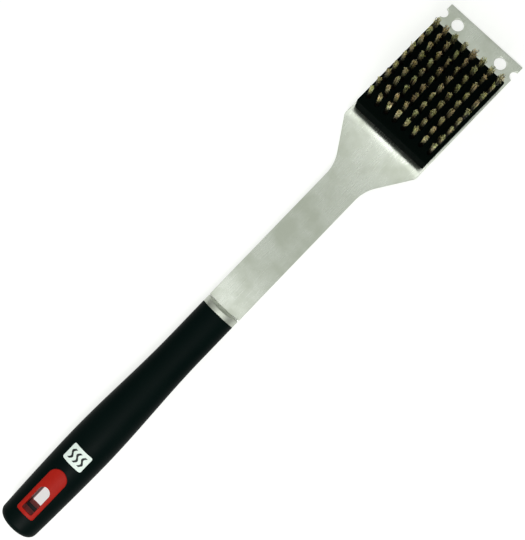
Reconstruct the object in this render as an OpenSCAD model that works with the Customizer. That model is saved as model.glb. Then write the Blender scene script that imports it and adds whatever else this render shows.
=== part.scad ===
// Grill cleaning brush: a one-piece stainless blade with a scraper end, a bristle block screwed
// to it, and an oval two-shell grip that clamps the blade's tang.
// Frame: +X from the grip's end to the scraper, +Z out of the bristle side, and the origin under
// the middle of the tool, on the surface that it lies on.

/* [Overall] */
// Length from the end of the grip to the scraper's edge
total_l = 450; // [425:1:475]

/* [Blade] */
// Thickness of the stainless sheet
sheet_t = 1.5; // [1.2:0.1:1.8]
// Width of the neck
neck_w = 26; // [24:0.5:28]
// Width of the tang inside the grip
tang_w = 14; // [12:0.5:15]
// Width of the head plate and the scraper
head_w = 64; // [62:1:70]
// Length from the rear of the bristle block to the scraper's edge
head_l = 97.3; // [94:0.1:104]
// Angle of the flare's edges between the neck and the head
flare_a = 33; // [28:1:40]
// Radius of the fillet where the flare leaves the neck
flare_r = 28; // [15:1:40]
// Angle by which the neck slopes down from the grip's axis
neck_slope = 1.4; // [1.2:0.1:1.6]
// Angle by which the head plate slopes down from the grip's axis
head_tilt = 5; // [4.5:0.1:6]
// Radius of the scraper's two holes
hole_r = 4.3; // [3.5:0.1:4.5]
// Distance between the centres of the two holes
hole_pitch = 38.4; // [34:0.2:42]
// Distance from the holes' centres to the scraper's edge
hole_inset = 8.3; // [7.5:0.1:9]
// Radius of the notch in each side of the scraper
notch_r = 3.4; // [2.5:0.1:3.8]

/* [Grip] */
// Length of the grip, without the ferrule
grip_l = 192; // [186:1:198]
// Greatest width of the grip
grip_w = 31.6; // [30.6:0.2:34]
// Width of the grip at its rear end
grip_rear_w = 28; // [27.6:0.2:29]
// Width of the grip at the ferrule
grip_front_w = 26; // [25.8:0.2:27]
// Wall of the grip's shells, across the grip
wall = 3; // [2.5:0.1:3.2]
// Length of the ferrule's straight band
ferrule_l = 4.2; // [4:0.1:6]
// Thickness of the ferrule's sheet
ferrule_t = 0.6; // [0.5:0.1:0.8]

/* [Hanging slot] */
// Width of the slot through the grip
slot_w = 8.4; // [7.5:0.1:8.8]
// Length of the slot
slot_l = 20; // [17:0.5:20]
// Distance from the end of the grip to the slot
slot_x = 17; // [16.8:0.1:17.5]
// Width of the coloured insert's face
insert_w = 14; // [13.6:0.1:14.4]
// Length of the coloured insert's face
insert_l = 37.4; // [37:0.1:38]

/* [Bristle block] */
// Width of the block
block_w = 61.2; // [60:0.2:62]
// Length of the block
block_l = 75.8; // [75:0.2:78]
// Height of the block
block_h = 12.4; // [11:0.2:15]
// Distance between tufts, both ways
tuft_pitch = 7.7; // [7.4:0.1:7.8]
// Height of the tufts above the block
tuft_h = 19.8; // [15:0.2:24]

/* [Hidden] */
$fn = 96;
eps = 0.01;
TUFT_ROWS = 9;
TUFTS_IN_ROW = 8;

// The sheet's two bends: a long soft one in front of the ferrule, and a shorter one between the
// flare and the head plate, with a little flat plate between it and the block.
neck_bend_r = 1200;
head_bend_r = 110;
head_lead = 1;

// Distances along the tool are from the grip's end, and heights are from the grip's axis. The
// head's own frame starts on the plate's top face, at the rear of the block.
head_x = total_l - head_l * cos(head_tilt);
ferrule_dome = 1.3;
shoulder_x = grip_l + ferrule_l + ferrule_dome + 0.1;
neck_bend_x = shoulder_x + 1.4;
head_bend_x = head_x - (sheet_t / 2 + head_bend_r) * sin(head_tilt)
            - head_lead * cos(head_tilt) + head_bend_r * sin(neck_slope);
head_bend_drop = neck_bend_r * (1 - cos(neck_slope))
               + (head_bend_x - neck_bend_x - neck_bend_r * sin(neck_slope)) * tan(neck_slope);
head_drop = head_bend_drop + head_bend_r * (cos(neck_slope) - cos(head_tilt))
          + head_lead * sin(head_tilt) - sheet_t / 2 * cos(head_tilt);
flare_end_x = head_x - 7.8;
flare_x = flare_end_x - (head_w - neck_w) / 2 / tan(flare_a);
flare_corner_r = 3;
shoulder_corner_r = 0.8;
tip_corner_r = 0.6;

// The scraper's lower edge and the thickest part of the grip both touch the surface.
axis_z = head_drop + head_l * sin(head_tilt) + sheet_t * cos(head_tilt);
oval = 2 * axis_z / grip_w;

// The grip is widest at belly_x and has its front width from waist_x on.
belly_x = 70;
waist_x = 162;
end_bulge = 1.2;
end_corner_r = 5;
ferrule_w = grip_front_w - 0.1;
ferrule_corner_r = 1.1;
spigot_r = ferrule_w / 2 - ferrule_t - 0.05;
spigot_l = 3.6;
fit_gap = 0.1;      // room between two pieces that slide together
rib_xs = [74, 98, 122, 146, 170];
rib_t = 2;
cavity_x = 56;      // the grip is solid behind this, round the slot
peg_xs = [62, 158];
peg_r = 1.2;
peg_l = 2.6;
peg_boss_r = 2.4;

// The screw through the tang sits under the insert's round end.
insert_x = slot_x - 2.7;
insert_floor_z = 9.3;
insert_proud = 0.25;
insert_corner_r = 1.4;
tube_wall = 1.2;
web_z = 3.4;        // half height of the dark web between the two inserts' tubes
clamp_x = insert_x + insert_l - insert_w / 2;
tang_end_x = clamp_x - 6;
clamp_r = 2;
clamp_head_r = 3.5;
clamp_head_z = 6.5; // underside of the head
clamp_head_h = 2.4;
nut_af = 7;
nut_t = 3.2;
nut_end_z = 9;      // outer face of the nut, and the end of the screw

// The block's screws stand between the tufts.
tuft_x0 = (block_l - (TUFT_ROWS - 1) * tuft_pitch) / 2;
block_screw_xs = [for (gap = [1, 6]) tuft_x0 + (gap + 0.5) * tuft_pitch];
block_screw_y = 2 * tuft_pitch;
block_screw_r = 1.6;
block_screw_l = 8.5;
block_screw_head_r = 3.2;
block_screw_head_h = 1.9;
block_corner_r = 1.2;
block_edge = 0.6;
tuft_hole_r = 1.6;
tuft_r = 1.5;
tuft_tip_r = 2;
tuft_depth = 8;
staple = [0.5, 3.05, 1.3];
staple_lift = 0.6;

// ---- frames and shared shapes --------------------------------------------------------------

// From distances along the tool and heights above the grip's axis to the part's own frame.
module on_axis() {
    translate([-total_l / 2, 0, axis_z]) children();
}

// The head's frame: x along the plate, z out of its top face.
module on_head() {
    on_axis() translate([head_x, 0, -head_drop]) rotate([0, head_tilt, 0]) children();
}

function arc(centre, r, from, to, steps) =
    [for (i = [0:steps]) let (a = from + (to - from) * i / steps) centre + r * [cos(a), sin(a)]];

function mirrored(points) = [for (i = [len(points) - 1:-1:0]) [points[i].x, -points[i].y]];

// A rectangle with round corners, from its near corner.
module rounded_rect(size, r) {
    translate([0, r]) square([size.x, size.y - 2 * r]);
    translate([r, 0]) square([size.x - 2 * r, size.y]);
    for (x = [r, size.x - r], y = [r, size.y - r]) translate([x, y]) circle(r);
}

// A tongue's outline, half round at the front and with small corners at the rear.
module tongue(x, length, width, r) {
    translate([x, r - width / 2]) square([length - width / 2, width - 2 * r]);
    translate([x + r, -width / 2]) square([length - width / 2 - r, width]);
    translate([x + length - width / 2, 0]) circle(width / 2);
    for (side = [-1, 1]) translate([x + r, side * (width / 2 - r)]) circle(r);
}

// ---- blade ---------------------------------------------------------------------------------

// Middle line of the sheet, seen from the side.
function sheet_line() = let (
    head_centre = [head_bend_x, -head_bend_drop]
                - head_bend_r * [sin(neck_slope), cos(neck_slope)],
    plate_from = head_centre + head_bend_r * [sin(head_tilt), cos(head_tilt)],
    plate_l = head_l + head_lead)
    concat(
        [[tang_end_x - 5, 0]],
        arc([neck_bend_x, -neck_bend_r], neck_bend_r, 90, 90 - neck_slope, 5),
        arc(head_centre, head_bend_r, 90 - neck_slope, 90 - head_tilt, 5),
        [plate_from + plate_l * [cos(head_tilt), -sin(head_tilt)]]);

// Unit normal of a line of points at one of them, shared by the two stretches that meet there.
function normal(line, i) = let (
    into = line[max(i, 1)] - line[max(i, 1) - 1],
    out = line[min(i, len(line) - 2) + 1] - line[min(i, len(line) - 2)],
    along = into / norm(into) + out / norm(out))
    [-along.y, along.x] / norm(along);

module sheet_side() {
    line = sheet_line();
    last = len(line) - 1;
    polygon(concat(
        [for (i = [0:last]) line[i] + normal(line, i) * sheet_t / 2],
        [for (i = [last:-1:0]) line[i] - normal(line, i) * sheet_t / 2]));
}

// One long edge of the blade seen from above, from the tang to the scraper.
function blade_edge() = let (
    fillet = flare_r * tan(flare_a / 2),
    corner = flare_corner_r * tan(flare_a / 2))
    concat(
        arc([tang_end_x + tang_w / 2, 0], tang_w / 2, 180, 90, 16),
        [[shoulder_x, tang_w / 2]],
        arc([shoulder_x + shoulder_corner_r, neck_w / 2 - shoulder_corner_r], shoulder_corner_r,
            180, 90, 4),
        arc([flare_x - fillet, neck_w / 2 + flare_r], flare_r, -90, flare_a - 90, 12),
        arc([flare_end_x + corner, head_w / 2 - flare_corner_r], flare_corner_r,
            90 + flare_a, 90, 6),
        arc([total_l - tip_corner_r, head_w / 2 - tip_corner_r], tip_corner_r, 90, 0, 4));

module blade() {
    color("silver") difference() {
        on_axis() intersection() {
            rotate([90, 0, 0]) translate([0, 0, -head_w / 2 - 1])
                linear_extrude(head_w + 2) sheet_side();
            translate([0, 0, -head_drop - head_l]) linear_extrude(head_drop + head_l + 10)
                polygon(concat(blade_edge(), mirrored(blade_edge())));
        }
        on_axis() translate([clamp_x, 0, -sheet_t]) cylinder(r = clamp_r + 0.2, h = 2 * sheet_t);
        on_head() {
            for (side = [-1, 1]) translate([head_l - hole_inset, 0, -2 * sheet_t]) {
                translate([0, side * hole_pitch / 2]) cylinder(r = hole_r, h = 3 * sheet_t);
                translate([0, side * head_w / 2]) cylinder(r = notch_r, h = 3 * sheet_t);
            }
            at_block_screws() translate([0, 0, -2 * sheet_t])
                cylinder(r = block_screw_r + 0.2, h = 3 * sheet_t);
        }
    }
}

// ---- grip ----------------------------------------------------------------------------------

// Half the grip's width at a distance from its end.
function grip_r(x) =
    x < belly_x ? (grip_w - (grip_w - grip_rear_w) * pow(1 - x / belly_x, 1.5)) / 2
    : x < waist_x ? (grip_front_w + (grip_w - grip_front_w)
        * (1 + cos(180 * (x - belly_x) / (waist_x - belly_x))) / 2) / 2
    : grip_front_w / 2;

// Distances at which the grip's outline has its points.
function grip_xs() = concat(
    [for (i = [1:6]) let (x0 = end_bulge + end_corner_r) x0 + (belly_x - x0) * i / 6],
    [for (i = [1:9]) belly_x + (waist_x - belly_x) * i / 9]);

// Turns a closed outline of [radius, distance] points into a solid with the grip's oval section.
module oval_turning(outline) {
    scale([1, 1, oval]) rotate([0, 90, 0]) rotate_extrude() polygon(outline);
}

// The outside of both shells together, swollen by a little, with the ferrule's spigot.
module grip_body(swell = 0) {
    r0 = grip_r(end_bulge + end_corner_r) + swell;
    oval_turning(concat(
        [[0, -swell], [(r0 - end_corner_r) / 2, end_bulge * 0.3 - swell]],
        [for (p = arc([end_corner_r - r0, end_bulge + end_corner_r - swell], end_corner_r,
                      -90, -180, 6)) [-p.x, p.y]],
        [for (x = grip_xs()) [grip_r(x) + swell, x]],
        [[grip_front_w / 2 + swell, grip_l], [spigot_r, grip_l], [spigot_r, grip_l + spigot_l],
         [0, grip_l + spigot_l]]));
}

// The hollow of both shells together, without the ribs and the pegs' bosses.
module grip_hollow() {
    xs = [for (x = grip_xs()) if (x > cavity_x - 20) x];
    difference() {
        oval_turning(concat(
            [[0, xs[0]]], [for (x = xs) [grip_r(x) - wall, x]],
            [[grip_front_w / 2 - wall, grip_l + spigot_l + 1], [0, grip_l + spigot_l + 1]]));
        translate([0, -grip_w, -grip_w]) cube([cavity_x, 2 * grip_w, 2 * grip_w]);
        for (x = rib_xs) translate([x, -grip_w, -grip_w]) cube([rib_t, 2 * grip_w, 2 * grip_w]);
        at_pegs() translate([0, 0, -grip_w]) cylinder(r = peg_boss_r, h = 2 * grip_w);
    }
}

module at_pegs() {
    for (x = peg_xs, side = [-1, 1]) translate([x, side * (grip_r(x) - 3.4), 0]) children();
}

// Room for the tang between the shells.
module tang_channel() {
    w = tang_w + 2 * fit_gap;
    translate([0, 0, -sheet_t / 2]) linear_extrude(sheet_t) {
        translate([tang_end_x + tang_w / 2, 0]) circle(w / 2);
        translate([tang_end_x + tang_w / 2, -w / 2]) square([grip_l, w]);
    }
}

// The slot's outline, grown all round.
module slot_outline(grow) {
    tongue(slot_x - grow, slot_l + 2 * grow, slot_w + 2 * grow, 0.6 + grow);
}

// Room for the insert of the upper side: its face, and the tube that lines the slot.
module insert_pocket() {
    translate([0, 0, insert_floor_z]) linear_extrude(grip_w)
        tongue(insert_x - fit_gap, insert_l + 2 * fit_gap, insert_w + 2 * fit_gap,
               insert_corner_r + fit_gap);
    translate([0, 0, web_z]) linear_extrude(grip_w) slot_outline(tube_wall + fit_gap);
    translate([0, 0, -eps]) linear_extrude(grip_w) slot_outline(0);
}

// The upper half of the grip, with everything that both halves have.
module shell_half() {
    difference() {
        grip_body();
        translate([-5, -grip_w, -2 * grip_w]) cube([grip_l + 20, 2 * grip_w, 2 * grip_w]);
        grip_hollow();
        tang_channel();
        insert_pocket();
        translate([clamp_x, 0, -eps]) cylinder(r = clamp_r + 0.2, h = grip_w);
    }
}

module grip_upper_shell() {
    color("dimgray") on_axis() difference() {
        shell_half();
        translate([clamp_x, 0, clamp_head_z]) cylinder(r = clamp_head_r + 0.2, h = grip_w);
        at_pegs() translate([0, 0, -eps]) cylinder(r = peg_r + fit_gap, h = peg_l + 0.4);
    }
}

module grip_lower_shell() {
    color("dimgray") on_axis() union() {
        difference() {
            mirror([0, 0, 1]) shell_half();
            translate([clamp_x, 0, -nut_end_z - 1]) cylinder(
                d = (nut_af + 2 * fit_gap) / cos(30), h = nut_t + 1, $fn = 6);
        }
        at_pegs() translate([0, 0, -2]) cylinder(r = peg_r, h = 2 + peg_l);
    }
}

module insert() {
    difference() {
        union() {
            intersection() {
                grip_body(insert_proud);
                translate([0, 0, insert_floor_z]) linear_extrude(grip_w)
                    tongue(insert_x, insert_l, insert_w, insert_corner_r);
            }
            translate([0, 0, web_z]) linear_extrude(insert_floor_z + 0.5 - web_z)
                slot_outline(tube_wall);
        }
        translate([0, 0, -grip_w]) linear_extrude(2 * grip_w) slot_outline(0);
    }
}

module upper_insert() {
    color("firebrick") on_axis() insert();
}

module lower_insert() {
    color("firebrick") on_axis() mirror([0, 0, 1]) insert();
}

module tang_screw() {
    color("gainsboro") on_axis() translate([clamp_x, 0, 0]) difference() {
        union() {
            translate([0, 0, -nut_end_z]) cylinder(r = clamp_r, h = nut_end_z + clamp_head_z + 1);
            translate([0, 0, clamp_head_z]) cylinder(r = clamp_head_r, h = clamp_head_h);
        }
        translate([0, 0, clamp_head_z + clamp_head_h - 1.5]) cylinder(r = 1.6, h = 3, $fn = 6);
    }
}

module tang_nut() {
    color("gainsboro") on_axis() translate([clamp_x, 0, -nut_end_z]) difference() {
        cylinder(d = nut_af / cos(30), h = nut_t, $fn = 6);
        translate([0, 0, -1]) cylinder(r = clamp_r + 0.02, h = nut_t + 2);
    }
}

// A domed sheet cap over the spigot, with a slit for the tang. Its two halves join at the tang.
module ferrule() {
    r = ferrule_w / 2;
    front = grip_l + ferrule_l + ferrule_dome;
    corner = [r - ferrule_corner_r, grip_l + ferrule_l - 0.2];
    color("silver") on_axis() difference() {
        for (side = [-1, 1]) difference() {
            oval_turning(concat(
                [[0, grip_l], [r, grip_l]], arc(corner, ferrule_corner_r, 0, 90, 6), [[0, front]]));
            oval_turning(concat(
                [[0, grip_l - 1], [r - ferrule_t, grip_l - 1]],
                arc(corner, ferrule_corner_r - ferrule_t, 0, 90, 6), [[0, front - ferrule_t]]));
            translate([grip_l - 5, -grip_w, side < 0 ? 0 : -grip_w])
                cube([20, 2 * grip_w, grip_w]);
        }
        translate([grip_l, -tang_w / 2 - fit_gap, -sheet_t / 2 - fit_gap])
            cube([20, tang_w + 2 * fit_gap, sheet_t + 2 * fit_gap]);
    }
}

// ---- bristle block -------------------------------------------------------------------------

module at_block_screws() {
    for (x = block_screw_xs, side = [-1, 1]) translate([x, side * block_screw_y, 0]) children();
}

module at_row(row) {
    for (i = [0:TUFTS_IN_ROW - 1])
        translate([tuft_x0 + (row - 1) * tuft_pitch, (i - (TUFTS_IN_ROW - 1) / 2) * tuft_pitch,
                   block_h - tuft_depth]) children();
}

module bristle_block() {
    color("darkslategray") on_head() difference() {
        union() {
            translate([0, -block_w / 2, 0]) linear_extrude(block_h - block_edge)
                rounded_rect([block_l, block_w], block_corner_r);
            translate([block_edge / 2, block_edge / 2 - block_w / 2, 0]) linear_extrude(block_h)
                rounded_rect([block_l - block_edge, block_w - block_edge], block_corner_r);
        }
        for (row = [1:TUFT_ROWS]) at_row(row) cylinder(r = tuft_hole_r, h = block_h, $fn = 24);
        at_block_screws() translate([0, 0, -1]) cylinder(r = block_screw_r + 0.02, h = 10);
    }
}

module block_screws() {
    color("gainsboro") on_head() at_block_screws() translate([0, 0, -sheet_t]) difference() {
        union() {
            cylinder(r = block_screw_r, h = block_screw_l, $fn = 32);
            translate([0, 0, -block_screw_head_h])
                cylinder(r1 = block_screw_head_r - 0.8, r2 = block_screw_head_r,
                         h = block_screw_head_h, $fn = 32);
        }
        for (turn = [0, 90]) rotate(turn) translate([-1.7, -0.35, -block_screw_head_h - 1])
            cube([3.4, 0.7, 2.1]);
    }
}

// The tufts of one row, counted from the grip's side.
module tuft_row(row) {
    color("goldenrod") on_head() at_row(row) difference() {
        rotate_extrude($fn = 24) polygon([
            [0, 0.1], [tuft_r - 0.3, 0.1], [tuft_r, 0.6], [tuft_r, tuft_depth],
            [tuft_tip_r, tuft_depth + tuft_h - 0.6], [tuft_tip_r - 0.5, tuft_depth + tuft_h],
            [0, tuft_depth + tuft_h]]);
        translate([-staple.x / 2 - 0.02, -tuft_hole_r, staple_lift - 0.02])
            cube([staple.x + 0.04, 2 * tuft_hole_r, staple.z + 0.04]);
    }
}

module tuft_staples() {
    color("darkgoldenrod") on_head() for (row = [1:TUFT_ROWS]) at_row(row)
        translate([-staple.x / 2, -staple.y / 2, staple_lift]) cube(staple);
}

blade();
ferrule();
grip_upper_shell();
grip_lower_shell();
upper_insert();
lower_insert();
tang_screw();
tang_nut();
bristle_block();
block_screws();
tuft_staples();
tuft_row(1);  // tuft_row_1
tuft_row(2);  // tuft_row_2
tuft_row(3);  // tuft_row_3
tuft_row(4);  // tuft_row_4
tuft_row(5);  // tuft_row_5
tuft_row(6);  // tuft_row_6
tuft_row(7);  // tuft_row_7
tuft_row(8);  // tuft_row_8
tuft_row(9);  // tuft_row_9
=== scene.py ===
"""Grill cleaning brush: the visual model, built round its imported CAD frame.

The tool lies on a pale table with its wires up. A stainless blade runs from a black two-shell
grip to a tilted head, which carries a block of 72 wire tufts and ends in a scraper. Lengths in
the classes are in millimetres, and each sub-assembly is built in its own frame: the grip's and
the blade's start at the end of the grip, on its axis, and the head's starts on the head plate,
at the rear of the block.
"""

import logging
import math
import random
from collections.abc import Callable, Iterable, Sequence
from dataclasses import dataclass
from enum import Enum

import bmesh
import bpy
from mathutils import Matrix, Vector


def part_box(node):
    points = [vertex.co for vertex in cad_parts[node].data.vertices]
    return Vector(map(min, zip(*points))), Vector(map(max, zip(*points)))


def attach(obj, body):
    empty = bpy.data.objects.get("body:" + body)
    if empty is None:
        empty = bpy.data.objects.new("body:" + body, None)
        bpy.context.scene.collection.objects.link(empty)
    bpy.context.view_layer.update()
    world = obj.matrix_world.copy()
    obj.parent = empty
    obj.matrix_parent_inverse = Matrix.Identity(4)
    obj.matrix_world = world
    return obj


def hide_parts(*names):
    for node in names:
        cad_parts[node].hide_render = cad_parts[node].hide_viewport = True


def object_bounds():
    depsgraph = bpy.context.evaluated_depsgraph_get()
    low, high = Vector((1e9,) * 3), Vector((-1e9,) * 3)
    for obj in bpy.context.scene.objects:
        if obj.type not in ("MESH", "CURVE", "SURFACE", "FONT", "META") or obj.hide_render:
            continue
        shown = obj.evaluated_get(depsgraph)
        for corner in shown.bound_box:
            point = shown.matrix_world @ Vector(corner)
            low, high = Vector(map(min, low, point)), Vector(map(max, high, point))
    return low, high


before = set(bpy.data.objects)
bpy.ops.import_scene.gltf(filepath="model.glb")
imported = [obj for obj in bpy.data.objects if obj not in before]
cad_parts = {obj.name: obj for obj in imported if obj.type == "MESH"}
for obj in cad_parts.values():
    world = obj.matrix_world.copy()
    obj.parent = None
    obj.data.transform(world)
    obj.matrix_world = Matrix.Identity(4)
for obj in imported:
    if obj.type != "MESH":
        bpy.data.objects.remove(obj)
CAD_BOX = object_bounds()

logging.basicConfig(level=logging.INFO, format="%(message)s")
log = logging.getLogger("grill_brush")

MM = 0.001
ROOT = "root"
HEAD_TILT = 5.0  # degrees between the head plate and the table
SHARP_EDGE = math.radians(38)  # edges that turn by more than this stay crisp
RIM_ANGLE = 1.2  # radians; only the edges of a sheet's rim turn by more
MERGE_DISTANCE = 1e-4  # millimetres

Point = tuple[float, float]
Place = tuple[float, float, float]
Loop = list[Point]
Ring = list[Vector]


class Slot(Enum):
    """The record's material slots that the pieces of this script stand for."""

    STEEL = "stainless_sheet"
    FERRULE = "polished_ferrule"
    GRIP = "black_grip"
    INSERT = "red_insert"
    FASTENER = "zinc_fastener"
    BLOCK = "black_block"
    INK = "white_ink"
    BRASS = "brass_wire"


class Side(Enum):
    """The two halves of the grip, with the sign of their heights."""

    UPPER = 1
    LOWER = -1


# ---- places ----------------------------------------------------------------------------------


@dataclass(frozen=True)
class Datum:
    """Where the tool's own frames lie in the row's frame, in metres."""

    grip_end: float
    axis_height: float
    head: Vector
    tilt: float

    @classmethod
    def from_cad(cls, tilt_deg: float, block_length: float) -> "Datum":
        """Reads the frames' places off the CAD nodes' boxes.

        Args:
            tilt_deg: slope of the head plate, in degrees.
            block_length: length of the bristle block, in millimetres.

        Returns:
            The datum that every piece is placed by.
        """
        tilt = math.radians(tilt_deg)
        block_low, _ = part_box("bristle_block")
        rise = block_length * MM * math.sin(tilt)
        return cls(
            grip_end=CAD_BOX[0][0],
            axis_height=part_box("grip_upper_shell")[0][2],
            head=Vector((block_low[0], 0.0, block_low[2] + rise)),
            tilt=tilt,
        )

    def on_axis(self) -> Matrix:
        """From millimetres along and above the grip's axis to the row's frame."""
        return Matrix.Translation((self.grip_end, 0.0, self.axis_height)) @ Matrix.Scale(MM, 4)

    def on_head(self) -> Matrix:
        """From millimetres on the head plate to the row's frame."""
        turn = Matrix.Rotation(self.tilt, 4, "Y")
        return Matrix.Translation(self.head) @ turn @ Matrix.Scale(MM, 4)


# ---- outlines --------------------------------------------------------------------------------


def arc(centre: Point, radius: float, start: float, end: float, steps: int) -> Loop:
    """Points along a circular arc.

    Args:
        centre: centre of the arc.
        radius: its radius.
        start: angle of the first point, in degrees.
        end: angle of the last point, in degrees.
        steps: number of stretches between the points.

    Returns:
        The points, both ends included.
    """
    angles = [math.radians(start + (end - start) * i / steps) for i in range(steps + 1)]
    return [(centre[0] + radius * math.cos(a), centre[1] + radius * math.sin(a)) for a in angles]


def circle(centre: Point, radius: float, steps: int) -> Loop:
    """A full circle of points, without repeating the first."""
    return arc(centre, radius, 0.0, 360.0, steps)[:-1]


def straight(start: Point, end: Point, steps: int) -> Loop:
    """Points along a straight stretch, without its last point."""
    return [
        (start[0] + (end[0] - start[0]) * i / steps, start[1] + (end[1] - start[1]) * i / steps)
        for i in range(steps)
    ]


def evenly(start: float, end: float, steps: int) -> list[float]:
    """Even distances from start to end, both included."""
    return [start + (end - start) * i / steps for i in range(steps + 1)]


def rectangle(low: Point, high: Point) -> Loop:
    """The four corners of a rectangle, from its lowest and its highest corner."""
    return [low, (high[0], low[1]), high, (low[0], high[1])]


def rounded(low: Point, high: Point, corner: float) -> Loop:
    """A rectangle with round corners.

    Args:
        low: its lowest corner.
        high: its highest corner.
        corner: radius of its corners.

    Returns:
        The points, anticlockwise from the side with the greatest x.
    """
    (x0, y0), (x1, y1) = low, high
    return (
        arc((x1 - corner, y1 - corner), corner, 0, 90, 5)
        + arc((x0 + corner, y1 - corner), corner, 90, 180, 5)
        + arc((x0 + corner, y0 + corner), corner, 180, 270, 5)
        + arc((x1 - corner, y0 + corner), corner, 270, 360, 5)
    )


@dataclass(frozen=True)
class Tongue:
    """An outline with a square rear, two small corners and a half-round front."""

    rear: float
    length: float
    width: float
    corner: float

    def outline(self, grow: float = 0.0) -> Loop:
        """The outline's points, always equally many and in the same order.

        Args:
            grow: how far the outline moves outward.

        Returns:
            The points, anticlockwise from the middle of the rear edge.
        """
        x0, half, r = self.rear - grow, self.width / 2 + grow, max(self.corner + grow, 0.02)
        centre = self.rear + self.length - self.width / 2
        lower = (
            straight((x0, 0.0), (x0, r - half), 4)
            + arc((x0 + r, r - half), r, 180, 270, 5)[:-1]
            + straight((x0 + r, -half), (centre, -half), 12)
            + arc((centre, 0.0), half, -90, 0, 14)[:-1]
        )
        upper = [(x, -y) for x, y in reversed(lower[1:])]
        return lower + [(centre + half, 0.0)] + upper


def between(inner: Loop, outer: Loop, share: float) -> Loop:
    """The outline that lies between two matched ones, at a share of the way."""
    return [
        (a[0] + (b[0] - a[0]) * share, a[1] + (b[1] - a[1]) * share)
        for a, b in zip(inner, outer, strict=True)
    ]


# ---- meshes ----------------------------------------------------------------------------------


def skin(rings: Sequence[Ring], closed: bool = False) -> bmesh.types.BMesh:
    """Joins rings of equally many points with quads.

    Args:
        rings: the rings, each a closed loop of points. Rings that shrink to a point are merged.
        closed: joins the last ring to the first, as round a tube.

    Returns:
        A new mesh.
    """
    bm = bmesh.new()
    rows = [[bm.verts.new(p) for p in ring] for ring in rings]
    pairs = list(zip(rows, rows[1:])) + ([(rows[-1], rows[0])] if closed else [])
    for near, far in pairs:
        for i in range(len(near)):
            j = (i + 1) % len(near)
            bm.faces.new((near[i], near[j], far[j], far[i]))
    bmesh.ops.remove_doubles(bm, verts=bm.verts, dist=MERGE_DISTANCE)
    bmesh.ops.recalc_face_normals(bm, faces=bm.faces)
    return bm


def stepped(levels: Sequence[tuple[Loop, float]]) -> bmesh.types.BMesh:
    """A closed upright solid whose outline changes from step to step.

    Args:
        levels: matched outlines and their heights, from the lowest to the highest.

    Returns:
        A new mesh.
    """
    bm = skin([[Vector((x, y, z)) for x, y in outline] for outline, z in levels])
    bmesh.ops.holes_fill(bm, edges=[e for e in bm.edges if e.is_boundary])
    bmesh.ops.recalc_face_normals(bm, faces=bm.faces)
    return bm


def prism(outline: Loop, low: float, high: float) -> bmesh.types.BMesh:
    """A closed upright block with one outline, from one height to another."""
    return stepped([(outline, low), (outline, high)])


def join(parts: Iterable[bmesh.types.BMesh]) -> bmesh.types.BMesh:
    """Puts several meshes into one and frees them.

    Args:
        parts: the meshes, which are used up.

    Returns:
        A new mesh.
    """
    whole = bmesh.new()
    for part in parts:
        spare = bpy.data.meshes.new("spare")
        part.to_mesh(spare)
        part.free()
        whole.from_mesh(spare)
        bpy.data.meshes.remove(spare)
    return whole


def as_object(bm: bmesh.types.BMesh, name: str) -> bpy.types.Object:
    """Turns a mesh into an object of the scene.

    Args:
        bm: the mesh, which is used up.
        name: the object's name.

    Returns:
        The new object.
    """
    mesh = bpy.data.meshes.new(name)
    bm.to_mesh(mesh)
    bm.free()
    made = bpy.data.objects.new(name, mesh)
    bpy.context.scene.collection.objects.link(made)
    return made


def score(bm: bmesh.types.BMesh, at: Sequence[float], normal: Sequence[float]) -> None:
    """Adds edges to a mesh where a plane crosses it."""
    bmesh.ops.bisect_plane(bm, geom=bm.verts[:] + bm.edges[:] + bm.faces[:],
                           plane_co=at, plane_no=normal, dist=MERGE_DISTANCE)


def close_slits(bm: bmesh.types.BMesh) -> None:
    """Splits open edges where the end of another one lies on them, and merges the two sides.

    Args:
        bm: the mesh that is mended.
    """
    rims = [e for e in bm.edges if e.is_boundary]
    ends = {v for e in rims for v in e.verts}
    for edge in rims:
        a, b = edge.verts
        along = b.co - a.co
        for vert in ends - {a, b}:
            share = (vert.co - a.co).dot(along) / along.length_squared
            if 0 < share < 1 and (a.co + along * share - vert.co).length < MERGE_DISTANCE:
                bmesh.utils.edge_split(edge, a, share)
                break
    bmesh.ops.remove_doubles(bm, verts=bm.verts, dist=MERGE_DISTANCE)


def carve(body: bmesh.types.BMesh, cutters: Sequence[bmesh.types.BMesh]) -> bmesh.types.BMesh:
    """Cuts closed meshes out of another.

    Args:
        body: the mesh that is cut.
        cutters: the closed meshes that are taken away, one after another.

    Returns:
        A new mesh.
    """
    work = as_object(body, "carve_body")
    tools = [as_object(cutter, f"carve_tool_{i}") for i, cutter in enumerate(cutters)]
    for tool in tools:
        cut = work.modifiers.new(tool.name, "BOOLEAN")
        cut.operation, cut.solver, cut.object = "DIFFERENCE", "EXACT", tool
    seen = work.evaluated_get(bpy.context.evaluated_depsgraph_get())
    result = bmesh.new()
    result.from_mesh(seen.to_mesh())
    seen.to_mesh_clear()
    for spare in (work, *tools):
        mesh = spare.data
        bpy.data.objects.remove(spare)
        bpy.data.meshes.remove(mesh)
    bmesh.ops.remove_doubles(result, verts=result.verts, dist=MERGE_DISTANCE)
    bmesh.ops.dissolve_degenerate(result, edges=result.edges, dist=MERGE_DISTANCE)
    close_slits(result)
    return result


# ---- finishes --------------------------------------------------------------------------------


def linear(hex_code: str) -> tuple[float, float, float, float]:
    """Turns an sRGB hex colour into the linear colour that shaders take.

    Args:
        hex_code: the colour, such as "#C8CCC2".

    Returns:
        Linear red, green and blue, and an alpha of 1.
    """
    parts = [int(hex_code[i : i + 2], 16) / 255 for i in (1, 3, 5)]
    red, green, blue = (c / 12.92 if c <= 0.04045 else ((c + 0.055) / 1.055) ** 2.4 for c in parts)
    return (red, green, blue, 1.0)


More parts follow.
